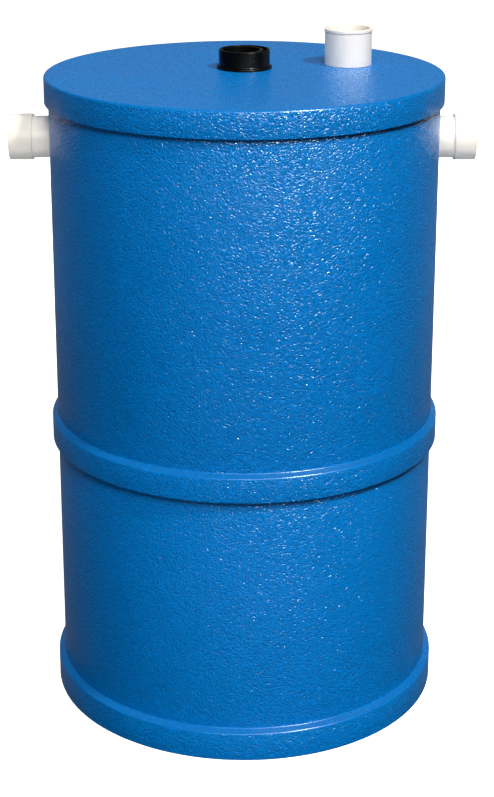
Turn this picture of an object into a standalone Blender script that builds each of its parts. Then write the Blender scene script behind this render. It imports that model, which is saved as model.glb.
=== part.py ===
"""Septic tank, in metres, +Z up, standing on the floor at z = 0 with its axis on the Z axis.

A round plastic shell is made of two courses of curved wall on a base disc. A band wraps the foot,
a second band wraps the joint of the two courses, and a flat lid with a skirt closes the top.
A white pipe stub with a coupler leaves each side, and a vent socket and a collar stand on the lid.
"""

from math import cos, pi, radians, sin, tau

import bmesh
import bpy

# What touches in the real tank is kept this far apart
GAP = 0.0003

# Shell
WALL_RADIUS = 0.5095
WALL_THICKNESS = 0.008
DISC_THICKNESS = 0.010
TANK_HEIGHT = 1.710
COURSE_JOINT_Z = 0.755

# Lid
LID_RADIUS = 0.520
LID_EDGE_ROUND = 0.006
SKIRT_DEPTH = 0.0694

# Bands: outer radius, lower edge, top of the upright face, top of the slope at the wall
BASE_BAND = (0.5274, 0.0, 0.0761, 0.0865)
MID_BAND = (0.5244, 0.7225, 0.7879, 0.7990)

# Side pipes, 110 mm drain pipe and its couplers
PIPE_AXIS_Z = 1.539
PIPE_RADIUS = 0.055
PIPE_THICKNESS = 0.0032
PIPE_INSIDE_TANK = 0.025
COUPLER_RADIUS = 0.0606
COUPLER_EDGE_ROUND = 0.002
COUPLER_STOP_WIDTH = 0.003
INLET_COUPLER = (0.553, 0.615)
OUTLET_COUPLER = (0.549, 0.605)

# Vent socket on the lid
VENT_CENTRE = (0.2755, 0.118)
VENT_HEIGHT = 0.097
VENT_RADIUS = 0.0622
VENT_RIM_RADIUS = 0.0638
VENT_RIM_DEPTH = 0.009
VENT_EDGE_ROUND = 0.002
VENT_STOP_HEIGHT = 0.012
VENT_SPIGOT_DEPTH = 0.025

# Collar on the lid: an outer wall, and a narrower tube inside it that stands off to one side
COLLAR_CENTRE = (0.0, 0.061)
COLLAR_HEIGHT = 0.050
COLLAR_RADIUS = 0.067
COLLAR_WALL_THICKNESS = 0.006
COLLAR_EDGE_ROUND = 0.0015
COLLAR_FLANGE_RADIUS = 0.0728
COLLAR_FLANGE_THICKNESS = 0.0075
COLLAR_FLANGE_ROUND = 0.0025
COLLAR_FILLET = 0.003
COLLAR_GROOVE_DEPTH = 0.028
COLLAR_TUBE_RADIUS = 0.0575
COLLAR_TUBE_DROP = 0.0015
COLLAR_TUBE_SHIFT_X = -0.008
COLLAR_BORE_RADIUS = 0.0497
COLLAR_SPIGOT_RADIUS = 0.060
COLLAR_SPIGOT_DEPTH = 0.015

# Facets of a full turn, and the names of the segments counted from +X towards +Y
TANK_STEPS = 96
PIPE_STEPS = 36
EIGHT_SIDES = ("right", "back_right", "back", "back_left", "left", "front_left", "front", "front_right")
FOUR_SIDES = ("right", "back", "left", "front")
SHARP_ANGLE = radians(30)

# Longer than anything that a cutter goes through
CUTTER_LENGTH = 0.16

LID_UNDERSIDE = TANK_HEIGHT - DISC_THICKNESS
BAND_INNER_RADIUS = WALL_RADIUS + GAP
WALL_INNER_RADIUS = WALL_RADIUS - WALL_THICKNESS
PIPE_BORE = PIPE_RADIUS - PIPE_THICKNESS


def clear_scene():
    for old in list(bpy.data.objects):
        bpy.data.objects.remove(old, do_unlink=True)


def plastic(name, colour, roughness):
    """A moulded plastic with a plain colour."""
    material = bpy.data.materials.new(name)
    material.use_nodes = True
    shader = material.node_tree.nodes["Principled BSDF"]
    shader.inputs["Base Color"].default_value = (*colour, 1.0)
    shader.inputs["Roughness"].default_value = roughness
    shader.inputs["Metallic"].default_value = 0.0
    material.diffuse_color = (*colour, 1.0)
    return material


def place(name, mesh, collection, parent=None, material=None):
    """Links a new object for the mesh to the collection."""
    made = bpy.data.objects.new(name, mesh)
    collection.objects.link(made)
    made.parent = parent
    if material:
        mesh.materials.append(material)
    return made


def smooth(mesh):
    mesh.shade_smooth()
    mesh.set_sharp_from_angle(angle=SHARP_ANGLE)


def rounded(radius, z, size, start, steps=2):
    """Points of a quarter-round corner of a profile, turning clockwise from the start angle."""
    centre_r = radius - size * (cos(start) + cos(start - pi / 2))
    centre_z = z - size * (sin(start) + sin(start - pi / 2))
    angles = (start - pi / 2 * i / steps for i in range(steps + 1))
    return [(centre_r + size * cos(a), centre_z + size * sin(a)) for a in angles]


def fillet(radius, z, size, steps=2):
    """Points of the hollow corner where an upright wall runs down into a flange."""
    angles = (pi + pi / 2 * i / steps for i in range(steps + 1))
    return [(radius + size + size * cos(a), z + size + size * sin(a)) for a in angles]


def segment(name, outline, centre, span, tank):
    """A stretch of ring: the (radius, height) outline swept round the Z axis about its middle angle."""
    trim = GAP / 2 / WALL_RADIUS
    start = centre - span / 2 + trim
    bm = bmesh.new()
    corners = [bm.verts.new((r * cos(start), r * sin(start), z)) for r, z in outline]
    face = bm.faces.new(corners)
    bmesh.ops.spin(
        bm,
        geom=[face, *face.edges, *face.verts],
        cent=(0, 0, 0),
        axis=(0, 0, 1),
        angle=span - 2 * trim,
        steps=round(TANK_STEPS * span / tau),
    )
    bmesh.ops.recalc_face_normals(bm, faces=bm.faces)
    mesh = bpy.data.meshes.new(name)
    bm.to_mesh(mesh)
    bm.free()
    smooth(mesh)
    return place(name, mesh, tank["parts"], tank["root"], tank["blue"])


def ring_of_segments(name, outline, sides, tank):
    """The outline swept all the way round, as one segment for each named side."""
    span = tau / len(sides)
    return {side: segment(f"{name}_{side}", outline, i * span, span, tank) for i, side in enumerate(sides)}


def turned(name, outline, steps, closed, tank, material):
    """A profile in the XZ plane, listed down its outer side, turned about Z by a Screw modifier."""
    bm = bmesh.new()
    points = [bm.verts.new((r, 0, z)) for r, z in outline]
    for first, second in zip(points, points[1:]):
        bm.edges.new((first, second))
    if closed:
        bm.edges.new((points[-1], points[0]))
    mesh = bpy.data.meshes.new(name)
    bm.to_mesh(mesh)
    bm.free()
    made = place(name, mesh, tank["parts"], tank["root"], material)
    screw = made.modifiers.new("Turn", "SCREW")
    screw.steps = steps
    screw.render_steps = steps
    screw.use_merge_vertices = True
    screw.merge_threshold = 0.00001
    screw.use_smooth_shade = True
    return made


def round_tool(name, radius, length, location, rotation, tank):
    """A cylinder that only shapes another piece and isn't part of the tank."""
    bpy.ops.mesh.primitive_cylinder_add(
        vertices=PIPE_STEPS, radius=radius, depth=length, location=location, rotation=rotation
    )
    tool = bpy.context.object
    tool.name = name
    for collection in list(tool.users_collection):
        collection.objects.unlink(tool)
    tank["cutters"].objects.link(tool)
    tool.hide_render = True
    tool.display_type = "WIRE"
    return tool


def combine(target, tool, operation):
    """Cuts the tool out of the target, or joins it on."""
    step = target.modifiers.new(tool.name, "BOOLEAN")
    step.operation = operation
    step.solver = "EXACT"
    step.object = tool


def drill(target, name, radius, location, rotation, tank):
    """A round hole right through the target."""
    combine(target, round_tool(name, radius, CUTTER_LENGTH, location, rotation, tank), "DIFFERENCE")


def make_base(tank):
    """The disc that the wall stands on."""
    bpy.ops.mesh.primitive_cylinder_add(
        vertices=TANK_STEPS, radius=WALL_RADIUS, depth=DISC_THICKNESS, location=(0, 0, DISC_THICKNESS / 2)
    )
    disc = bpy.context.object
    disc.name = "base_disc"
    for collection in list(disc.users_collection):
        collection.objects.unlink(disc)
    tank["parts"].objects.link(disc)
    disc.parent = tank["root"]
    disc.data.materials.append(tank["blue"])
    smooth(disc.data)


def wall_outline(bottom, top):
    return [(WALL_INNER_RADIUS, bottom), (WALL_RADIUS, bottom), (WALL_RADIUS, top), (WALL_INNER_RADIUS, top)]


def band_outline(outer, bottom, slope_start, slope_top):
    """A band with an upright face and a sloped top edge that runs up to the wall."""
    return [
        (BAND_INNER_RADIUS, bottom),
        (outer, bottom),
        (outer, slope_start),
        (BAND_INNER_RADIUS, slope_top),
    ]


def make_shell(tank):
    """Both courses of wall, with a hole for each side pipe in the upper one."""
    ring_of_segments("lower_wall", wall_outline(DISC_THICKNESS + GAP, COURSE_JOINT_Z), EIGHT_SIDES, tank)
    upper = wall_outline(COURSE_JOINT_Z + GAP, LID_UNDERSIDE - GAP)
    walls = ring_of_segments("upper_wall", upper, EIGHT_SIDES, tank)
    for side, sign in (("left", -1), ("right", 1)):
        drill(
            walls[side],
            f"{side}_pipe_hole",
            PIPE_RADIUS + GAP,
            (sign * WALL_RADIUS, 0, PIPE_AXIS_Z),
            (0, pi / 2, 0),
            tank,
        )


def make_bands(tank):
    ring_of_segments("base_band", band_outline(*BASE_BAND), FOUR_SIDES, tank)
    ring_of_segments("mid_band", band_outline(*MID_BAND), FOUR_SIDES, tank)


def make_lid(tank):
    """The lid's disc, with a rounded edge and two holes, and the skirt that hangs from its rim."""
    outline = [(0, TANK_HEIGHT)]
    outline += rounded(LID_RADIUS, TANK_HEIGHT, LID_EDGE_ROUND, pi / 2)
    outline += [(LID_RADIUS, LID_UNDERSIDE), (0, LID_UNDERSIDE)]
    lid = turned("lid_top", outline, TANK_STEPS, False, tank, tank["blue"])
    holes = (
        ("collar_hole", COLLAR_SPIGOT_RADIUS + GAP, COLLAR_CENTRE),
        ("vent_hole", PIPE_RADIUS + GAP, VENT_CENTRE),
    )
    for name, radius, (x, y) in holes:
        drill(lid, name, radius, (x, y, TANK_HEIGHT), (0, 0, 0), tank)
    skirt_bottom = TANK_HEIGHT - SKIRT_DEPTH
    skirt_top = LID_UNDERSIDE - GAP
    skirt = [
        (BAND_INNER_RADIUS, skirt_bottom),
        (LID_RADIUS, skirt_bottom),
        (LID_RADIUS, skirt_top),
        (BAND_INNER_RADIUS, skirt_top),
    ]
    ring_of_segments("lid_skirt", skirt, FOUR_SIDES, tank)


def make_side_pipe(name, coupler, sign, tank):
    """A pipe stub through the wall and the coupler on its end, along -X or +X."""
    shoulder, end = coupler
    stop = (shoulder + end) / 2
    stub = [
        (PIPE_RADIUS, stop - COUPLER_STOP_WIDTH / 2 - GAP),
        (PIPE_RADIUS, WALL_INNER_RADIUS - PIPE_INSIDE_TANK),
        (PIPE_BORE, WALL_INNER_RADIUS - PIPE_INSIDE_TANK),
        (PIPE_BORE, stop - COUPLER_STOP_WIDTH / 2 - GAP),
    ]
    socket = PIPE_RADIUS + GAP
    sleeve = rounded(COUPLER_RADIUS, end, COUPLER_EDGE_ROUND, pi / 2)
    sleeve += rounded(COUPLER_RADIUS, shoulder, COUPLER_EDGE_ROUND, 0)
    sleeve += [
        (socket, shoulder),
        (socket, stop - COUPLER_STOP_WIDTH / 2),
        (PIPE_BORE, stop - COUPLER_STOP_WIDTH / 2),
        (PIPE_BORE, stop + COUPLER_STOP_WIDTH / 2),
        (socket, stop + COUPLER_STOP_WIDTH / 2),
        (socket, end),
    ]
    for piece, outline in (("pipe", stub), ("coupler", sleeve)):
        made = turned(f"{name}_{piece}", outline, PIPE_STEPS, True, tank, tank["white"])
        made.rotation_euler = (0, sign * pi / 2, 0)
        made.location = (0, 0, PIPE_AXIS_Z)


def make_vent(tank):
    """A socket for a vent pipe, with a rim ring, standing on the lid with its spigot through it."""
    rim_bottom = VENT_HEIGHT - VENT_RIM_DEPTH
    socket = PIPE_RADIUS + GAP
    outline = rounded(VENT_RIM_RADIUS, VENT_HEIGHT, VENT_EDGE_ROUND, pi / 2)
    outline += [
        (VENT_RIM_RADIUS, rim_bottom),
        (VENT_RADIUS, rim_bottom - (VENT_RIM_RADIUS - VENT_RADIUS)),
        (VENT_RADIUS, GAP),
        (PIPE_RADIUS, GAP),
        (PIPE_RADIUS, -VENT_SPIGOT_DEPTH),
        (PIPE_BORE, -VENT_SPIGOT_DEPTH),
        (PIPE_BORE, VENT_STOP_HEIGHT),
        (socket, VENT_STOP_HEIGHT),
        (socket, VENT_HEIGHT),
    ]
    vent = turned("vent_socket", outline, PIPE_STEPS, True, tank, tank["white"])
    vent.location = (*VENT_CENTRE, TANK_HEIGHT)


def make_collar(tank):
    """A moulded collar with a foot flange, and an offset tube inside it that leaves a crescent groove."""
    groove_bottom = COLLAR_HEIGHT - COLLAR_GROOVE_DEPTH
    inner_radius = COLLAR_RADIUS - COLLAR_WALL_THICKNESS
    outline = [(0, groove_bottom), (inner_radius, groove_bottom), (inner_radius, COLLAR_HEIGHT)]
    outline += rounded(COLLAR_RADIUS, COLLAR_HEIGHT, COLLAR_EDGE_ROUND, pi / 2)
    outline += fillet(COLLAR_RADIUS, COLLAR_FLANGE_THICKNESS, COLLAR_FILLET)
    outline += rounded(COLLAR_FLANGE_RADIUS, COLLAR_FLANGE_THICKNESS, COLLAR_FLANGE_ROUND, pi / 2)
    outline += [
        (COLLAR_FLANGE_RADIUS, GAP),
        (COLLAR_SPIGOT_RADIUS, GAP),
        (COLLAR_SPIGOT_RADIUS, -COLLAR_SPIGOT_DEPTH),
        (0, -COLLAR_SPIGOT_DEPTH),
    ]
    collar = turned("collar", outline, PIPE_STEPS, False, tank, tank["black"])
    x, y = COLLAR_CENTRE
    collar.location = (x, y, TANK_HEIGHT)
    tube_x = x + COLLAR_TUBE_SHIFT_X
    tube_top = COLLAR_HEIGHT - COLLAR_TUBE_DROP
    tube_length = tube_top - COLLAR_FLANGE_THICKNESS
    tube_centre = (tube_x, y, TANK_HEIGHT + tube_top - tube_length / 2)
    tube = round_tool("collar_tube", COLLAR_TUBE_RADIUS, tube_length, tube_centre, (0, 0, 0), tank)
    combine(collar, tube, "UNION")
    drill(collar, "collar_bore", COLLAR_BORE_RADIUS, (tube_x, y, TANK_HEIGHT), (0, 0, 0), tank)


def main():
    clear_scene()
    scene = bpy.context.scene
    parts = bpy.data.collections.new("septic_tank")
    cutters = bpy.data.collections.new("cutters")
    scene.collection.children.link(parts)
    scene.collection.children.link(cutters)
    root = place("tank_axis", None, parts)
    tank = {
        "parts": parts,
        "cutters": cutters,
        "root": root,
        "blue": plastic("blue_moulded_plastic", (0.02, 0.16, 0.48), 0.35),
        "white": plastic("white_pvc", (0.84, 0.84, 0.83), 0.4),
        "black": plastic("black_moulded_plastic", (0.012, 0.012, 0.013), 0.4),
    }
    make_base(tank)
    make_shell(tank)
    make_bands(tank)
    make_lid(tank)
    make_side_pipe("inlet", INLET_COUPLER, -1, tank)
    make_side_pipe("outlet", OUTLET_COUPLER, 1, tank)
    make_vent(tank)
    make_collar(tank)


main()
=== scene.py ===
"""Septic tank: a round plastic tank with two bands, a flat lid, side stubs, a vent socket and a collar.

Laid out as an add-on, and run as a script: main() registers the classes, makes every piece and the stage.
Metres, +Z up, the tank's axis on the Z axis and its foot on the floor at z = 0.
"""

from math import atan2, cos, hypot, pi, radians, sin, tau

import bmesh
import bpy
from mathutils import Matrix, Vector


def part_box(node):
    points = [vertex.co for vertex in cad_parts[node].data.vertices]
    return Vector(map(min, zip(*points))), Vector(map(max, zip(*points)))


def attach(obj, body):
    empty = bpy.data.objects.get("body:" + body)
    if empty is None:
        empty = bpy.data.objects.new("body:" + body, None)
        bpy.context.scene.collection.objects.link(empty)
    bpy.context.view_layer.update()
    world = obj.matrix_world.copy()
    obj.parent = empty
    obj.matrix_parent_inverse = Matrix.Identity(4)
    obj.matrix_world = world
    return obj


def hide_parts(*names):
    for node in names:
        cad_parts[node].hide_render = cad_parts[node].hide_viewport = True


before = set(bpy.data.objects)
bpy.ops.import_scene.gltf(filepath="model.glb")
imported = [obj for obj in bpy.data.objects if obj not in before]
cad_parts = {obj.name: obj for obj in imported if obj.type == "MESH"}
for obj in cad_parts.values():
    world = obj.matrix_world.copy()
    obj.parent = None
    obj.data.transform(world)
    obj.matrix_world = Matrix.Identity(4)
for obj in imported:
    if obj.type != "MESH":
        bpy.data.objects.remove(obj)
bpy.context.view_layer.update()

bl_info = {
    "name": "Septic Tank",
    "version": (1, 0, 0),
    "blender": (4, 5, 0),
    "location": "View3D > Sidebar > Septic Tank",
    "description": "Builds a round moulded septic tank with its pipe stubs, vent socket and collar",
    "category": "Add Mesh",
}

# Sizes that the fixed frame already settles
LID_LOW, LID_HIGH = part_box("lid_top")
SKIRT_LOW, SKIRT_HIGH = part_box("lid_skirt_front")
LOWER_LOW, LOWER_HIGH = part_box("lower_wall_right")
UPPER_LOW, UPPER_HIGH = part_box("upper_wall_back")
MID_LOW, MID_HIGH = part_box("mid_band_right")
BASE_LOW, BASE_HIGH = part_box("base_band_right")
INLET_LOW, INLET_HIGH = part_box("inlet_coupler")
OUTLET_LOW, OUTLET_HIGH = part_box("outlet_coupler")
STUB_LOW, STUB_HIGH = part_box("outlet_pipe")
VENT_LOW, VENT_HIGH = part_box("vent_socket")
COLLAR_LOW, COLLAR_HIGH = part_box("collar")

SIDES_OF_FOUR = ("right", "back", "left", "front")
SIDES_OF_EIGHT = ("right", "back_right", "back", "back_left", "left", "front_left", "front", "front_right")

# Facets round a full turn
TANK_SIDES = 192
FITTING_SIDES = 128
SMOOTH_ANGLE = radians(32)
# Points closer than this are one point
MERGE = 0.00001
CUTTER_LENGTH = 0.16
# Room left between two pieces that are fitted together
GAP = 0.0003

# The photograph's frame, in pixels
PHOTO_WIDTH = 494
PHOTO_HEIGHT = 797


def size(name, description, default):
    """A length in metres that the user can change."""
    return bpy.props.FloatProperty(
        name=name, description=description, default=default, min=0.0, precision=4, unit="LENGTH"
    )


def linear(hex_colour):
    """An sRGB hex colour as linear red, green and blue."""
    values = [int(hex_colour[i : i + 2], 16) / 255 for i in (1, 3, 5)]
    return [v / 12.92 if v <= 0.04045 else ((v + 0.055) / 1.055) ** 2.4 for v in values]


def colour(name, description, hex_colour):
    """A colour that the user can change."""
    return bpy.props.FloatVectorProperty(
        name=name, description=description, subtype="COLOR", size=3, min=0.0, max=1.0, default=linear(hex_colour)
    )


class ShellSettings(bpy.types.PropertyGroup):
    """Both courses of the round wall."""

    radius: size("Radius", "Outside of the wall", LOWER_HIGH.x)
    thickness: size("Thickness", "The moulded wall", 0.008)
    rim_round: size("Rim rounding", "Edges of the wall's open ends", 0.001)


class BandSettings(bpy.types.PropertyGroup):
    """The bands round the foot and the waist."""

    foot_radius: size("Foot radius", "Outside of the foot band", BASE_HIGH.x)
    foot_shoulder: size("Foot shoulder", "Height where its upright face ends", 0.0761)
    waist_radius: size("Waist radius", "Outside of the waist band", MID_HIGH.x)
    waist_shoulder: size("Waist shoulder", "Height where its upright face ends", 0.7879)
    edge_round: size("Edge rounding", "Rounding of the shoulder", 0.0030)
    lip_round: size("Lip rounding", "Rounding of the lower edge", 0.0015)
    fillet: size("Fillet", "The hollow where the sloped top runs up into the wall", 0.0022)


class LidSettings(bpy.types.PropertyGroup):
    """The lid with its hanging skirt."""

    radius: size("Radius", "Outside of the lid", LID_HIGH.x)
    thickness: size("Thickness", "The flat top", LID_HIGH.z - LID_LOW.z)
    edge_round: size("Edge rounding", "The edge between the top and the skirt", 0.0060)
    lip_round: size("Lip rounding", "The skirt's lower edge", 0.0015)


class StubSettings(bpy.types.PropertyGroup):
    """The side pipes and their couplers."""

    bore: size("Bore radius", "Inside of the drain pipe", 0.0518)
    radius: size("Pipe radius", "Outside of the drain pipe", 0.0550)
    coupler_radius: size("Coupler radius", "Outside of the coupler", OUTLET_HIGH.y)
    mouth_round: size("Mouth rounding", "The coupler's outer end", 0.0032)
    shoulder_round: size("Shoulder rounding", "The coupler's edge towards the tank", 0.0010)
    stop_width: size("Stop width", "The ring inside the coupler that stops the pipes", 0.0030)


class VentSettings(bpy.types.PropertyGroup):
    """The vent socket on the lid."""

    radius: size("Radius", "Outside of the socket's body", 0.0622)
    rim_radius: size("Rim radius", "Outside of the rim ring", VENT_HIGH.x / 2 - VENT_LOW.x / 2)
    rim_depth: size("Rim depth", "Height of the rim ring", 0.0085)
    groove: size("Groove", "Depth of the groove under the rim ring", 0.0008)
    stop_height: size("Stop height", "The ledge that stops the vent pipe, above the lid", 0.0120)


class CollarSettings(bpy.types.PropertyGroup):
    """The collar on the lid, with an offset tube inside it."""

    radius: size("Radius", "Outside of the wall", 0.0670)
    wall: size("Wall", "Thickness of the outer wall", 0.0060)
    flange_radius: size("Flange radius", "Outside of the foot flange", COLLAR_HIGH.x / 2 - COLLAR_LOW.x / 2)
    flange: size("Flange", "Thickness of the foot flange", 0.0075)
    spigot_radius: size("Spigot radius", "Outside of the part that passes through the lid", 0.0600)
    groove_depth: size("Groove depth", "The crescent between the wall and the tube", 0.0280)
    tube_radius: size("Tube radius", "Outside of the inner tube", 0.0575)
    bore_radius: size("Bore radius", "Inside of the inner tube", 0.0497)
    tube_drop: size("Tube drop", "The tube ends this far under the rim", 0.0015)
    tube_shift: size("Tube shift", "The tube stands off this far towards the inlet", 0.0080)
    seam: size("Seam", "Height of the mould seam on the wall", 0.0005)


class FinishSettings(bpy.types.PropertyGroup):
    """Colours and grain of the three plastics."""

    blue: colour("Blue", "The tank's moulded plastic", "#0070be")
    white: colour("White", "The pipes and the vent socket", "#efe9df")
    black: colour("Black", "The collar", "#040404")
    grain: size("Grain", "Spacing of the wrinkles of the leather grain", 0.0070)
    grain_depth: size("Grain depth", "Height that the wrinkles are scaled to", 0.0043)


class StageSettings(bpy.types.PropertyGroup):
    """Camera and light."""

    camera_height: size("Camera height", "Height of the lens above the floor", 2.5206)
    camera_distance: size("Camera distance", "From the tank's axis", 4.605)
    camera_pitch: bpy.props.FloatProperty(
        name="Pitch", description="The camera looks down by this angle", default=0.3013, subtype="ANGLE"
    )
    lens: bpy.props.FloatProperty(name="Lens", description="Focal length", default=80.675, unit="CAMERA")
    key_power: bpy.props.FloatProperty(name="Key light", description="Watts", default=1900.0, min=0.0)
    glint_power: bpy.props.FloatProperty(
        name="Glint light", description="Watts, seen only in the gloss", default=1300.0, min=0.0
    )
    edge_power: bpy.props.FloatProperty(
        name="Edge light", description="Watts that draw a line on the rounded edges", default=280.0, min=0.0
    )
    front_power: bpy.props.FloatProperty(name="Front light", description="Watts", default=2150.0, min=0.0)
    fill_power: bpy.props.FloatProperty(name="Fill light", description="Watts", default=50.0, min=0.0)
    bounce_power: bpy.props.FloatProperty(
        name="Bounce", description="Watts from the card under each coupler", default=0.12, min=0.0
    )
    back_power: bpy.props.FloatProperty(
        name="Back lights", description="Watts from each light behind the tank", default=260.0, min=0.0
    )
    card_power: bpy.props.FloatProperty(
        name="Floor card", description="Watts from the pale floor before the tank", default=5.0, min=0.0
    )
    sky: bpy.props.FloatProperty(name="Sky", description="Brightness of the studio's ceiling", default=0.19, min=0.0)
    glow: bpy.props.FloatProperty(name="Glow", description="Brightness of the floor behind", default=0.19, min=0.0)


def deselect_all():
    """Ends edit mode and clears the selection."""
    if bpy.context.mode != "OBJECT":
        bpy.ops.object.mode_set(mode="OBJECT")
    bpy.ops.object.select_all(action="DESELECT")


def activate(piece):
    deselect_all()
    piece.select_set(True)
    bpy.context.view_layer.objects.active = piece


def select_edges(piece, wanted):
    """In edit mode, selects the edges that the test accepts."""
    bpy.ops.mesh.select_mode(type="EDGE")
    bpy.ops.mesh.select_all(action="DESELECT")
    mesh = bmesh.from_edit_mesh(piece.data)
    for edge in mesh.edges:
        edge.select_set(wanted(edge))
    bmesh.update_edit_mesh(piece.data)


def ring_at(centre, radius, height):
    """A test for the edges of one ring, by its radius and height about the centre."""

    def on_ring(vertex):
        reach = hypot(vertex.co.x - centre[0], vertex.co.y - centre[1])
        return abs(reach - radius) < 2 * MERGE and abs(vertex.co.z - centre[2] - height) < 2 * MERGE

    return lambda edge: all(on_ring(vertex) for vertex in edge.verts)


def throw(name, centre, corners, sides, closed=True):
    """Raises a ring through the (radius, height, rounding) corners, as on a potter's wheel."""
    deselect_all()
    x, y, z = centre
    radius, height, _ = corners[0]
    bpy.ops.mesh.primitive_circle_add(vertices=sides, radius=radius, location=(x, y, z + height))
    piece = bpy.context.object
    piece.name = piece.data.name = name
    bpy.ops.object.transform_apply(location=True)
    bpy.ops.object.mode_set(mode="EDIT")
    bpy.ops.mesh.select_mode(type="EDGE")
    bpy.ops.mesh.select_all(action="SELECT")
    path = [*corners, corners[0]] if closed else corners
    for (here, low, _), (there, high, _) in zip(path, path[1:]):
        bpy.ops.mesh.extrude_region_move(TRANSFORM_OT_translate={"value": (0, 0, high - low)})
        spread = there / here
        bpy.ops.transform.resize(value=(spread, spread, 1), center_override=(x, y, z + high))
    bpy.ops.mesh.select_all(action="SELECT")
    bpy.ops.mesh.remove_doubles(threshold=MERGE)
    if not closed:
        bpy.ops.mesh.fill_holes(sides=0)
        bpy.ops.mesh.select_all(action="SELECT")
    bpy.ops.mesh.normals_make_consistent(inside=False)
    for radius, height, rounding in corners:
        if rounding:
            select_edges(piece, ring_at(centre, radius, height))
            bpy.ops.mesh.bevel(offset=rounding, segments=4, profile=0.5, affect="EDGES")
    bpy.ops.object.mode_set(mode="OBJECT")
    mark_worn_edges(piece, centre, corners)
    return piece


def mark_worn_edges(piece, centre, corners):
    """Gives the middle of each rounded edge the attribute that smooths its grain."""
    worn = piece.data.attributes.new("worn_edge", "FLOAT", "POINT")
    for vertex in piece.data.vertices:
        x, y, z = vertex.co - Vector(centre)
        reach = hypot(x, y)
        for radius, height, rounding in corners:
            if hypot(reach - radius, z - height) < 0.9 * rounding:
                worn.data[vertex.index].value = 1.0


def combine(piece, tool, operation):
    """Cuts the tool out of the piece or joins it on, and removes the tool."""
    step = piece.modifiers.new(operation.title(), "BOOLEAN")
    step.operation = operation
    step.solver = "EXACT"
    step.object = tool
    activate(piece)
    bpy.ops.object.modifier_apply(modifier=step.name)
    bpy.data.objects.remove(tool, do_unlink=True)


def drill(piece, radius, centre, rotation=(0, 0, 0)):
    """A round hole through the piece."""
    deselect_all()
    bpy.ops.mesh.primitive_cylinder_add(
        vertices=FITTING_SIDES, radius=radius, depth=CUTTER_LENGTH, location=centre, rotation=rotation
    )
    combine(piece, bpy.context.object, "DIFFERENCE")


def settle(piece, material, nodes):
    """Shades the piece, gives it its finish and lets it stand for its CAD nodes."""
    activate(piece)
    bpy.ops.object.transform_apply(location=True, rotation=True, scale=True)
    bpy.ops.object.shade_smooth_by_angle(angle=SMOOTH_ANGLE)
    piece.data.materials.clear()
    piece.data.materials.append(material)
    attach(piece, "root")
    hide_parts(*nodes)
    deselect_all()


def add_node(tree, kind, inputs=None, links=None, **settings):
    """Adds a node, sets its properties and inputs, and links other nodes' outputs to its inputs."""
    made = tree.nodes.new(kind)
    for name, value in settings.items():
        setattr(made, name, value)
    for name, value in (inputs or {}).items():
        made.inputs[name].default_value = value
    for name, output in (links or {}).items():
        tree.links.new(output, made.inputs[name])
    return made


def new_material(name):
    """A material with an empty tree but for its shader, and Object coordinates to draw on."""
    material = bpy.data.materials.new(name)
    material.use_nodes = True
    tree = material.node_tree
    return material, tree, tree.nodes["Principled BSDF"], add_node(tree, "ShaderNodeTexCoord").outputs["Object"]


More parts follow.
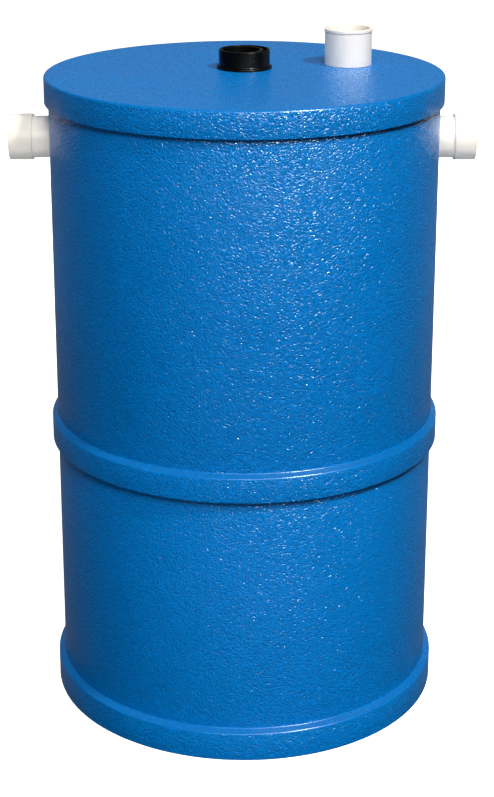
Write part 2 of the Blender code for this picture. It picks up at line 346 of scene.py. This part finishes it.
def blue_polypropylene(context):
    """Moulded polypropylene with a pebbled leather grain: a satin skin that sparkles where light rakes it."""
    name = "Leather-grained blue polypropylene"
    if name in bpy.data.materials:
        return bpy.data.materials[name]
    finish = context.scene.tank_finish
    material, tree, shader, place = new_material(name)
    # Sharp-crested wrinkles of the grain: they run where a noise crosses its middle
    winding = add_node(
        tree,
        "ShaderNodeTexNoise",
        {"Scale": 1 / finish.grain, "Detail": 0.0, "Distortion": 0.5},
        {"Vector": place},
    )
    off_middle = add_node(tree, "ShaderNodeMath", {1: 0.5}, {0: winding.outputs["Fac"]}, operation="SUBTRACT")
    valley = add_node(tree, "ShaderNodeMath", links={0: off_middle.outputs[0]}, operation="ABSOLUTE")
    wrinkles = add_node(tree, "ShaderNodeMath", {1: -1.0}, {0: valley.outputs[0]}, operation="MULTIPLY")
    # Slow waves of the mould, a hand's width apart
    waves = add_node(
        tree, "ShaderNodeTexNoise", {"Scale": 1 / 0.11, "Detail": 3.5, "Roughness": 0.6}, {"Vector": place}
    )
    wavy = add_node(
        tree, "ShaderNodeBump", {"Strength": 1.0, "Distance": 0.0028}, {"Height": waves.outputs["Fac"]}
    )
    # Painted shade: the colour is darkened on the sloped tops of the bands, which are picked out by how far the
    # surface faces up
    facing = add_node(tree, "ShaderNodeNewGeometry")
    upward = add_node(tree, "ShaderNodeSeparateXYZ", links={"Vector": facing.outputs["True Normal"]})
    below_slope = add_node(
        tree,
        "ShaderNodeMapRange",
        {"From Min": 0.4, "From Max": 0.7, "To Min": 1.0, "To Max": 0.70},
        {"Value": upward.outputs["Z"]},
    )
    above_slope = add_node(
        tree,
        "ShaderNodeMapRange",
        {"From Min": 0.9, "From Max": 1.0, "To Min": 0.70, "To Max": 1.0},
        {"Value": upward.outputs["Z"]},
    )
    painted_slope_shade = add_node(
        tree,
        "ShaderNodeMath",
        links={0: below_slope.outputs["Result"], 1: above_slope.outputs["Result"]},
        operation="MAXIMUM",
    )
    # How level the surface lies, which is 1 on the flat top
    level = add_node(
        tree,
        "ShaderNodeMapRange",
        {"From Min": 0.8, "From Max": 1.0, "To Min": 0.0, "To Max": 1.0},
        {"Value": upward.outputs["Z"]},
    )
    # The grain is shallower on both, and handling has worn it off the rounded edges
    on_slope = add_node(
        tree,
        "ShaderNodeMapRange",
        {"From Min": 0.70, "From Max": 1.0, "To Min": 0.2, "To Max": 1.0},
        {"Value": painted_slope_shade.outputs[0]},
    )
    worn = add_node(tree, "ShaderNodeAttribute", attribute_name="worn_edge")
    grain_left = add_node(
        tree,
        "ShaderNodeMapRange",
        {"From Min": 0.0, "From Max": 1.0, "To Min": 1.0, "To Max": 0.15},
        {"Value": worn.outputs["Fac"]},
    )
    on_top = add_node(
        tree,
        "ShaderNodeMapRange",
        {"From Min": 0.0, "From Max": 1.0, "To Min": 1.0, "To Max": 0.65},
        {"Value": level.outputs["Result"]},
    )
    off_edges = add_node(
        tree,
        "ShaderNodeMath",
        links={0: on_slope.outputs["Result"], 1: grain_left.outputs["Result"]},
        operation="MULTIPLY",
    )
    strength = add_node(
        tree,
        "ShaderNodeMath",
        links={0: off_edges.outputs[0], 1: on_top.outputs["Result"]},
        operation="MULTIPLY",
    )
    grained = add_node(
        tree,
        "ShaderNodeBump",
        {"Distance": finish.grain_depth},
        {"Height": wrinkles.outputs[0], "Normal": wavy.outputs["Normal"], "Strength": strength.outputs[0]},
    )
    tree.links.new(grained.outputs["Normal"], shader.inputs["Normal"])
    # The colour clouds a little over a forearm's length
    clouds = add_node(
        tree, "ShaderNodeTexNoise", {"Scale": 1 / 0.3, "Detail": 3.0, "Roughness": 0.55}, {"Vector": place}
    )
    blue = finish.blue
    tint = add_node(
        tree,
        "ShaderNodeMix",
        {6: (*blue, 1.0), 7: (*(v * 1.12 for v in blue), 1.0)},
        {0: clouds.outputs["Fac"]},
        data_type="RGBA",
    )
    # Painted highlight and shade: the colour is made paler along the crests of the grain and darker in the skin
    # between them
    painted_crest_light = add_node(
        tree,
        "ShaderNodeMapRange",
        {"From Min": 0.0, "From Max": 0.05, "To Min": 1.4, "To Max": 0.94},
        {"Value": valley.outputs[0]},
    )
    shade = add_node(
        tree,
        "ShaderNodeMath",
        links={0: painted_crest_light.outputs["Result"], 1: painted_slope_shade.outputs[0]},
        operation="MULTIPLY",
    )
    shaded = add_node(
        tree,
        "ShaderNodeVectorMath",
        links={0: tint.outputs[2], "Scale": shade.outputs[0]},
        operation="SCALE",
    )
    sheen = add_node(
        tree,
        "ShaderNodeMapRange",
        {"From Min": 0.3, "From Max": 0.7, "To Min": 0.21, "To Max": 0.28},
        {"Value": clouds.outputs["Fac"]},
    )
    # A film of dust, dried in patches of a thumb's width, greys and dulls the flat top
    patches = add_node(tree, "ShaderNodeTexNoise", {"Scale": 1 / 0.018, "Detail": 2.0}, {"Vector": place})
    settled = add_node(
        tree,
        "ShaderNodeMapRange",
        {"From Min": 0.35, "From Max": 0.65, "To Min": 0.0, "To Max": 0.010},
        {"Value": patches.outputs["Fac"]},
    )
    dust = add_node(
        tree,
        "ShaderNodeMath",
        links={0: settled.outputs["Result"], 1: level.outputs["Result"]},
        operation="MULTIPLY",
    )
    dusty = add_node(
        tree,
        "ShaderNodeMix",
        {7: (*linear("#b9bcbb"), 1.0)},
        {0: dust.outputs[0], 6: shaded.outputs["Vector"]},
        data_type="RGBA",
    )
    tree.links.new(dusty.outputs[2], shader.inputs["Base Color"])
    dulled = add_node(
        tree,
        "ShaderNodeMath",
        {1: 4.0},
        {0: dust.outputs[0], 2: sheen.outputs["Result"]},
        operation="MULTIPLY_ADD",
    )
    tree.links.new(dulled.outputs[0], shader.inputs["Roughness"])
    shader.inputs["IOR"].default_value = 1.45
    return material


def white_pvc(context):
    """Extruded unplasticised PVC: smooth, a little milky, with faint scuffs."""
    name = "White extruded PVC"
    if name in bpy.data.materials:
        return bpy.data.materials[name]
    finish = context.scene.tank_finish
    material, tree, shader, place = new_material(name)
    scuffs = add_node(
        tree, "ShaderNodeTexNoise", {"Scale": 1 / 0.02, "Detail": 4.0, "Roughness": 0.6}, {"Vector": place}
    )
    white = finish.white
    tint = add_node(
        tree,
        "ShaderNodeMix",
        {6: (*(v * 0.97 for v in white), 1.0), 7: (*white, 1.0)},
        {0: scuffs.outputs["Fac"]},
        data_type="RGBA",
    )
    tree.links.new(tint.outputs[2], shader.inputs["Base Color"])
    worn = add_node(
        tree,
        "ShaderNodeMapRange",
        {"From Min": 0.3, "From Max": 0.7, "To Min": 0.30, "To Max": 0.42},
        {"Value": scuffs.outputs["Fac"]},
    )
    tree.links.new(worn.outputs["Result"], shader.inputs["Roughness"])
    skin = add_node(
        tree, "ShaderNodeTexNoise", {"Scale": 1 / 0.0015, "Detail": 2.0}, {"Vector": place}
    )
    bump = add_node(
        tree, "ShaderNodeBump", {"Strength": 1.0, "Distance": 0.00003}, {"Height": skin.outputs["Fac"]}
    )
    tree.links.new(bump.outputs["Normal"], shader.inputs["Normal"])
    shader.inputs["IOR"].default_value = 1.53
    return material


def black_polypropylene(context):
    """Injection-moulded black polypropylene: satin, with a fine sparked skin."""
    name = "Black moulded polypropylene"
    if name in bpy.data.materials:
        return bpy.data.materials[name]
    finish = context.scene.tank_finish
    material, tree, shader, place = new_material(name)
    sparks = add_node(
        tree, "ShaderNodeTexNoise", {"Scale": 1 / 0.0012, "Detail": 3.0}, {"Vector": place}
    )
    bump = add_node(
        tree, "ShaderNodeBump", {"Strength": 1.0, "Distance": 0.00008}, {"Height": sparks.outputs["Fac"]}
    )
    tree.links.new(bump.outputs["Normal"], shader.inputs["Normal"])
    flow = add_node(
        tree, "ShaderNodeTexNoise", {"Scale": 1 / 0.03, "Detail": 2.0}, {"Vector": place}
    )
    worn = add_node(
        tree,
        "ShaderNodeMapRange",
        {"From Min": 0.3, "From Max": 0.7, "To Min": 0.26, "To Max": 0.33},
        {"Value": flow.outputs["Fac"]},
    )
    tree.links.new(worn.outputs["Result"], shader.inputs["Roughness"])
    black = finish.black
    tint = add_node(
        tree,
        "ShaderNodeMix",
        {6: (*(v * 0.9 for v in black), 1.0), 7: (*(v * 1.3 for v in black), 1.0)},
        {0: flow.outputs["Fac"]},
        data_type="RGBA",
    )
    tree.links.new(tint.outputs[2], shader.inputs["Base Color"])
    shader.inputs["IOR"].default_value = 1.49
    shader.inputs["Specular IOR Level"].default_value = 0.16
    return material


class TANK_OT_shell(bpy.types.Operator):
    """Makes both courses of the round wall, with a hole for each side pipe"""

    bl_idname = "tank.shell"
    bl_label = "Shell"

    def execute(self, context):
        shell = context.scene.tank_shell
        stubs = context.scene.tank_stubs
        blue = blue_polypropylene(context)
        inner = shell.radius - shell.thickness
        for name, low, high, course in (
            ("lower_course", LOWER_LOW.z, LOWER_HIGH.z, "lower_wall"),
            ("upper_course", UPPER_LOW.z, UPPER_HIGH.z, "upper_wall"),
        ):
            corners = [
                (shell.radius, low, shell.rim_round),
                (shell.radius, high, shell.rim_round),
                (inner, high, 0),
                (inner, low, 0),
            ]
            wall = throw(name, (0, 0, 0), corners, TANK_SIDES)
            if course == "upper_wall":
                for side in (-1, 1):
                    axis_height = (OUTLET_LOW.z + OUTLET_HIGH.z) / 2
                    drill(wall, stubs.radius + GAP, (side * shell.radius, 0, axis_height), (0, pi / 2, 0))
            settle(wall, blue, [f"{course}_{side}" for side in SIDES_OF_EIGHT])
        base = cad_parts["base_disc"]
        for slot in base.material_slots:
            slot.material = blue
        return {"FINISHED"}


class TANK_OT_bands(bpy.types.Operator):
    """Makes the whole rings round the foot and the waist, with sloped and rounded tops"""

    bl_idname = "tank.bands"
    bl_label = "Bands"

    def execute(self, context):
        bands = context.scene.tank_bands
        inner = context.scene.tank_shell.radius + GAP
        blue = blue_polypropylene(context)
        for name, radius, low, shoulder, high, nodes in (
            ("foot_band", bands.foot_radius, BASE_LOW.z, bands.foot_shoulder, BASE_HIGH.z, "base_band"),
            ("waist_band", bands.waist_radius, MID_LOW.z, bands.waist_shoulder, MID_HIGH.z, "mid_band"),
        ):
            corners = [
                (inner, low, 0),
                (radius, low, bands.lip_round),
                (radius, shoulder, bands.edge_round),
                (inner + bands.fillet / 4, high - bands.fillet, 0.9 * bands.fillet),
                (inner + bands.fillet / 4, high, 0),
                (inner, high, 0),
            ]
            band = throw(name, (0, 0, 0), corners, TANK_SIDES)
            settle(band, blue, [f"{nodes}_{side}" for side in SIDES_OF_FOUR])
        return {"FINISHED"}


class TANK_OT_lid(bpy.types.Operator):
    """Makes the lid and its skirt in one piece, with holes for the vent and the collar"""

    bl_idname = "tank.lid"
    bl_label = "Lid"

    def execute(self, context):
        lid = context.scene.tank_lid
        top = LID_HIGH.z
        inner = context.scene.tank_shell.radius + GAP
        # The ring near the edge keeps the flat top's shading flat
        support = lid.radius - 2 * lid.edge_round
        corners = [
            (support, top, 0),
            (lid.radius, top, lid.edge_round),
            (lid.radius, SKIRT_LOW.z, lid.lip_round),
            (inner, SKIRT_LOW.z, 0),
            (inner, top - lid.thickness, 0),
            (support, top - lid.thickness, 0),
        ]
        piece = throw("lid", (0, 0, 0), corners, TANK_SIDES, closed=False)
        vent = ((VENT_LOW.x + VENT_HIGH.x) / 2, (VENT_LOW.y + VENT_HIGH.y) / 2, top)
        collar = ((COLLAR_LOW.x + COLLAR_HIGH.x) / 2, (COLLAR_LOW.y + COLLAR_HIGH.y) / 2, top)
        drill(piece, context.scene.tank_stubs.radius + GAP, vent)
        drill(piece, context.scene.tank_collar.spigot_radius + GAP, collar)
        nodes = ["lid_top", *(f"lid_skirt_{side}" for side in SIDES_OF_FOUR)]
        settle(piece, blue_polypropylene(context), nodes)
        return {"FINISHED"}


class TANK_OT_stubs(bpy.types.Operator):
    """Makes the inlet and outlet pipes and the couplers on their ends"""

    bl_idname = "tank.stubs"
    bl_label = "Pipe stubs"

    def execute(self, context):
        stubs = context.scene.tank_stubs
        white = white_pvc(context)
        height = (OUTLET_LOW.z + OUTLET_HIGH.z) / 2
        socket = stubs.radius + GAP
        for name, sign, low, high in (
            ("inlet", -1, -INLET_HIGH.x, -INLET_LOW.x),
            ("outlet", 1, OUTLET_LOW.x, OUTLET_HIGH.x),
        ):
            stop = (low + high) / 2
            half = stubs.stop_width / 2
            pipe_corners = [
                (stubs.radius, STUB_LOW.x, 0.0006),
                (stubs.radius, stop - half - GAP, 0),
                (stubs.bore, stop - half - GAP, 0),
                (stubs.bore, STUB_LOW.x, 0.0006),
            ]
            coupler_corners = [
                (stubs.coupler_radius, low, stubs.shoulder_round),
                (stubs.coupler_radius, high, stubs.mouth_round),
                (socket, high, 0.0012),
                (socket, stop + half, 0),
                (stubs.bore, stop + half, 0),
                (stubs.bore, stop - half, 0),
                (socket, stop - half, 0),
                (socket, low, 0.0008),
            ]
            for part, corners in (("pipe", pipe_corners), ("coupler", coupler_corners)):
                piece = throw(f"{name}_{part}_turned", (0, 0, 0), corners, FITTING_SIDES)
                piece.rotation_euler = (0, sign * pi / 2, 0)
                piece.location = (0, 0, height)
                settle(piece, white, [f"{name}_{part}"])
        return {"FINISHED"}


class TANK_OT_vent(bpy.types.Operator):
    """Makes the vent socket, with its rim ring and the groove under it"""

    bl_idname = "tank.vent"
    bl_label = "Vent socket"

    def execute(self, context):
        vent = context.scene.tank_vent
        stubs = context.scene.tank_stubs
        centre = ((VENT_LOW.x + VENT_HIGH.x) / 2, (VENT_LOW.y + VENT_HIGH.y) / 2, LID_HIGH.z)
        top = VENT_HIGH.z - LID_HIGH.z
        foot = VENT_LOW.z - LID_HIGH.z
        rim = top - vent.rim_depth
        socket = stubs.radius + GAP
        corners = [
            (stubs.radius, GAP, 0),
            (vent.radius, GAP, 0.0008),
            (vent.radius, rim - 0.0016, 0),
            (vent.radius - vent.groove, rim - 0.0012, 0),
            (vent.radius - vent.groove, rim, 0),
            (vent.rim_radius, rim, 0.0006),
            (vent.rim_radius, top, 0.0022),
            (socket, top, 0.0014),
            (socket, vent.stop_height, 0),
            (stubs.bore, vent.stop_height, 0),
            (stubs.bore, foot, 0),
            (stubs.radius, foot, 0),
        ]
        piece = throw("vent_socket_turned", centre, corners, FITTING_SIDES)
        settle(piece, white_pvc(context), ["vent_socket"])
        return {"FINISHED"}


class TANK_OT_collar(bpy.types.Operator):
    """Makes the collar: flange, wall with its mould seam, and the offset tube inside"""

    bl_idname = "tank.collar"
    bl_label = "Collar"

    def execute(self, context):
        collar = context.scene.tank_collar
        centre = ((COLLAR_LOW.x + COLLAR_HIGH.x) / 2, (COLLAR_LOW.y + COLLAR_HIGH.y) / 2, LID_HIGH.z)
        top = COLLAR_HIGH.z - LID_HIGH.z
        foot = COLLAR_LOW.z - LID_HIGH.z
        floor = top - collar.groove_depth
        inner = collar.radius - collar.wall
        corners = [
            (inner, floor, 0),
            (inner, top, 0.0012),
            (collar.radius, top, 0.0020),
            (collar.radius, collar.flange, 0.0030),
            (collar.flange_radius, collar.flange, 0.0028),
            (collar.flange_radius, GAP, 0),
            (collar.spigot_radius, GAP, 0),
            (collar.spigot_radius, foot, 0),
        ]
        piece = throw("collar_moulding", centre, corners, TANK_SIDES, closed=False)
        self.raise_seam(piece, centre, collar)
        tube_x = centre[0] - collar.tube_shift
        tube_top = top - collar.tube_drop
        tube_corners = [
            (collar.tube_radius - 0.004, tube_top, 0),
            (collar.tube_radius, tube_top, 0.0010),
            (collar.tube_radius, collar.flange, 0),
            (collar.tube_radius - 0.004, collar.flange, 0),
        ]
        tube = throw("collar_tube", (tube_x, centre[1], centre[2]), tube_corners, FITTING_SIDES, closed=False)
        combine(piece, tube, "UNION")
        drill(piece, collar.bore_radius, (tube_x, centre[1], centre[2]))
        settle(piece, black_polypropylene(context), ["collar"])
        return {"FINISHED"}

    @staticmethod
    def raise_seam(piece, centre, collar):
        """Draws the mould's parting line out of the wall, at the front and the back."""
        front = radians(-110.6)
        activate(piece)
        bpy.ops.object.mode_set(mode="EDIT")
        mesh = bmesh.from_edit_mesh(piece.data)
        for vertex in mesh.verts:
            x, y, z = vertex.co - Vector(centre)
            turn = (atan2(y, x) - front) % pi
            on_line = min(turn, pi - turn) < tau / TANK_SIDES / 2
            if on_line and z > collar.flange and hypot(x, y) > collar.radius - 0.0021:
                vertex.co += collar.seam * Vector((x, y, 0)).normalized()
        bmesh.update_edit_mesh(piece.data)
        bpy.ops.object.mode_set(mode="OBJECT")


def area_light(name, location, target, width, height, power, warmth="#ffffff"):
    """A soft box that the camera doesn't see."""
    deselect_all()
    bpy.ops.object.light_add(type="AREA", location=location)
    light = bpy.context.object
    light.name = light.data.name = name
    light.rotation_euler = (Vector(target) - Vector(location)).to_track_quat("-Z", "Y").to_euler()
    light.data.shape = "RECTANGLE"
    light.data.size = width
    light.data.size_y = height
    light.data.energy = power
    light.data.color = linear(warmth)
    light.visible_camera = False
    return light


def polar(azimuth, elevation, distance, height):
    """A place round the tank's axis: azimuth 0 is the camera's side, and it grows to the right."""
    a = radians(azimuth)
    e = radians(elevation)
    return (distance * sin(a) * cos(e), -distance * cos(a) * cos(e), height + distance * sin(e))


class TANK_OT_stage(bpy.types.Operator):
    """Sets the pale floor and backdrop, the studio lights and the camera"""

    bl_idname = "tank.stage"
    bl_label = "Stage"

    def execute(self, context):
        scene = context.scene
        stage = scene.tank_stage
        self.set_backdrop()
        self.set_sky(scene, stage)
        area_light("Key", polar(46, 52, 16.0, 1.0), (0, 0, 1.0), 2.0, 2.0, stage.key_power, "#fff6ec")
        glint = area_light("Glint", polar(34.5, 34, 9.0, 1.0), (0, 0, 1.0), 0.7, 0.7, stage.glint_power, "#eafaff")
        glint.visible_diffuse = False
        edge = area_light("Edge", polar(4, 27, 9.0, 1.0), (0, 0, 1.0), 6.0, 0.8, stage.edge_power)
        edge.visible_diffuse = False
        front = area_light("Front", polar(4, 46, 16.0, 1.0), (0, 0, 1.0), 6.0, 6.0, stage.front_power)
        front.visible_glossy = False
        fill = area_light("Fill", polar(-62, 15, 7.0, 1.0), (0, 0, 1.0), 4.0, 4.0, stage.fill_power)
        fill.visible_glossy = False
        for name, azimuth in (("right", 150), ("left", -150)):
            back = area_light(f"Back {name}", polar(azimuth, 8, 8.0, 1.0), (0, 0, 1.0), 2.0, 2.0, stage.back_power)
            back.visible_glossy = False
        floor_card = area_light("Floor card", (0.4, -1.7, 0.05), (0.1, -0.5, 0.6), 3.0, 1.0, stage.card_power)
        floor_card.visible_glossy = False
        for name, sign in (("left", -1), ("right", 1)):
            bounce = area_light(
                f"Bounce {name}", (sign * 0.75, -0.6, 0.5), (sign * 0.575, 0, 1.52), 0.2, 0.2, stage.bounce_power
            )
            bounce.data.spread = radians(24)
            bounce.visible_glossy = False
        self.set_camera(scene, stage)
        scene.view_settings.view_transform = "Standard"
        return {"FINISHED"}

    @staticmethod
    def set_backdrop():
        """A white floor and a white room round it, which only the camera sees."""
        for name, glow in (("floor", 0.8), ("backdrop", 1.0)):
            deselect_all()
            if name == "floor":
                bpy.ops.mesh.primitive_plane_add(size=70, location=(0, 0, -0.0003))
            else:
                bpy.ops.mesh.primitive_cylinder_add(vertices=64, radius=34, depth=70, location=(0, 0, 0))
            piece = bpy.context.object
            piece.name = piece.data.name = name
            material, tree, shader, place = new_material(f"White paper {name}")
            fibres = add_node(tree, "ShaderNodeTexNoise", {"Scale": 3.0, "Detail": 3.0}, {"Vector": place})
            paper = add_node(
                tree,
                "ShaderNodeMix",
                {6: (0.88, 0.88, 0.88, 1.0), 7: (0.92, 0.92, 0.92, 1.0)},
                {0: fibres.outputs["Fac"]},
                data_type="RGBA",
            )
            tree.links.new(paper.outputs[2], shader.inputs["Base Color"])
            shader.inputs["Roughness"].default_value = 0.9
            shader.inputs["Specular IOR Level"].default_value = 0.0
            shader.inputs["Emission Color"].default_value = (1.0, 1.0, 1.0, 1.0)
            shader.inputs["Emission Strength"].default_value = glow
            material.cycles.emission_sampling = "NONE"
            piece.data.materials.append(material)
            piece.visible_diffuse = False
            piece.visible_glossy = False
            piece.visible_transmission = False
            piece.visible_shadow = False

    @staticmethod
    def set_sky(scene, stage):
        """Soft light from the studio's ceiling, and a glow from the paper behind the tank."""
        world = bpy.data.worlds.new("Studio")
        scene.world = world
        world.use_nodes = True
        tree = world.node_tree
        place = add_node(tree, "ShaderNodeTexCoord").outputs["Generated"]
        split = add_node(tree, "ShaderNodeSeparateXYZ", links={"Vector": place})
        ceiling = add_node(
            tree,
            "ShaderNodeMapRange",
            {"From Min": 0.45, "From Max": 0.95, "To Min": 0.02, "To Max": stage.sky},
            {"Value": split.outputs["Z"]},
            interpolation_type="SMOOTHSTEP",
        )
        horizon = add_node(
            tree,
            "ShaderNodeMapRange",
            {"From Min": -0.1, "From Max": 0.1, "To Min": 0.3, "To Max": 1.0},
            {"Value": split.outputs["Z"]},
        )
        sky = add_node(
            tree,
            "ShaderNodeMath",
            links={0: ceiling.outputs["Result"], 1: horizon.outputs["Result"]},
            operation="MULTIPLY",
        )
        behind = add_node(
            tree,
            "ShaderNodeMapRange",
            {"From Min": 0.35, "From Max": 1.0, "To Min": 0.0, "To Max": stage.glow},
            {"Value": split.outputs["Y"]},
        )
        low = add_node(
            tree,
            "ShaderNodeMapRange",
            {"From Min": 0.05, "From Max": 0.55, "To Min": 1.0, "To Max": 0.0},
            {"Value": split.outputs["Z"]},
        )
        strength = add_node(
            tree,
            "ShaderNodeMath",
            links={0: behind.outputs["Result"], 1: low.outputs["Result"], 2: sky.outputs[0]},
            operation="MULTIPLY_ADD",
        )
        background = tree.nodes["Background"]
        background.inputs["Color"].default_value = (1.0, 1.0, 1.0, 1.0)
        tree.links.new(strength.outputs[0], background.inputs["Strength"])

    @staticmethod
    def set_camera(scene, stage):
        deselect_all()
        bpy.ops.object.camera_add(
            location=(0, -stage.camera_distance, stage.camera_height),
            rotation=(pi / 2 - stage.camera_pitch, 0, 0),
        )
        camera = bpy.context.object
        camera.name = camera.data.name = "Camera"
        camera.data.lens = stage.lens
        camera.data.sensor_width = 36.0
        # The picture's centre line falls above and beside the middle of the photograph's frame
        camera.data.shift_x = (PHOTO_WIDTH / 2 - 244.35) / PHOTO_HEIGHT
        camera.data.shift_y = (300.0 - PHOTO_HEIGHT / 2) / PHOTO_HEIGHT
        camera.data.clip_start = 0.05
        camera.data.clip_end = 200.0
        scene.camera = camera


class TANK_PT_panel(bpy.types.Panel):
    """Lists the tank's pieces in the 3D view's sidebar"""

    bl_idname = "TANK_PT_panel"
    bl_label = "Septic Tank"
    bl_space_type = "VIEW_3D"
    bl_region_type = "UI"
    bl_category = "Septic Tank"

    def draw(self, context):
        layout = self.layout
        for operator in PIECES:
            layout.operator(operator.bl_idname)
        for group in SETTINGS:
            box = layout.box()
            box.label(text=group)
            settings = getattr(context.scene, group)
            for name in SETTINGS[group].__annotations__:
                box.prop(settings, name)


SETTINGS = {
    "tank_shell": ShellSettings,
    "tank_bands": BandSettings,
    "tank_lid": LidSettings,
    "tank_stubs": StubSettings,
    "tank_vent": VentSettings,
    "tank_collar": CollarSettings,
    "tank_finish": FinishSettings,
    "tank_stage": StageSettings,
}
PIECES = (TANK_OT_shell, TANK_OT_bands, TANK_OT_lid, TANK_OT_stubs, TANK_OT_vent, TANK_OT_collar, TANK_OT_stage)


def register():
    for group in (*SETTINGS.values(), *PIECES, TANK_PT_panel):
        bpy.utils.register_class(group)
    for name, group in SETTINGS.items():
        setattr(bpy.types.Scene, name, bpy.props.PointerProperty(type=group))


def unregister():
    for name in SETTINGS:
        delattr(bpy.types.Scene, name)
    for group in reversed((*SETTINGS.values(), *PIECES, TANK_PT_panel)):
        bpy.utils.unregister_class(group)


def main():
    register()
    bpy.ops.tank.shell()
    bpy.ops.tank.bands()
    bpy.ops.tank.lid()
    bpy.ops.tank.stubs()
    bpy.ops.tank.vent()
    bpy.ops.tank.collar()
    bpy.ops.tank.stage()


if __name__ == "__main__":
    main()
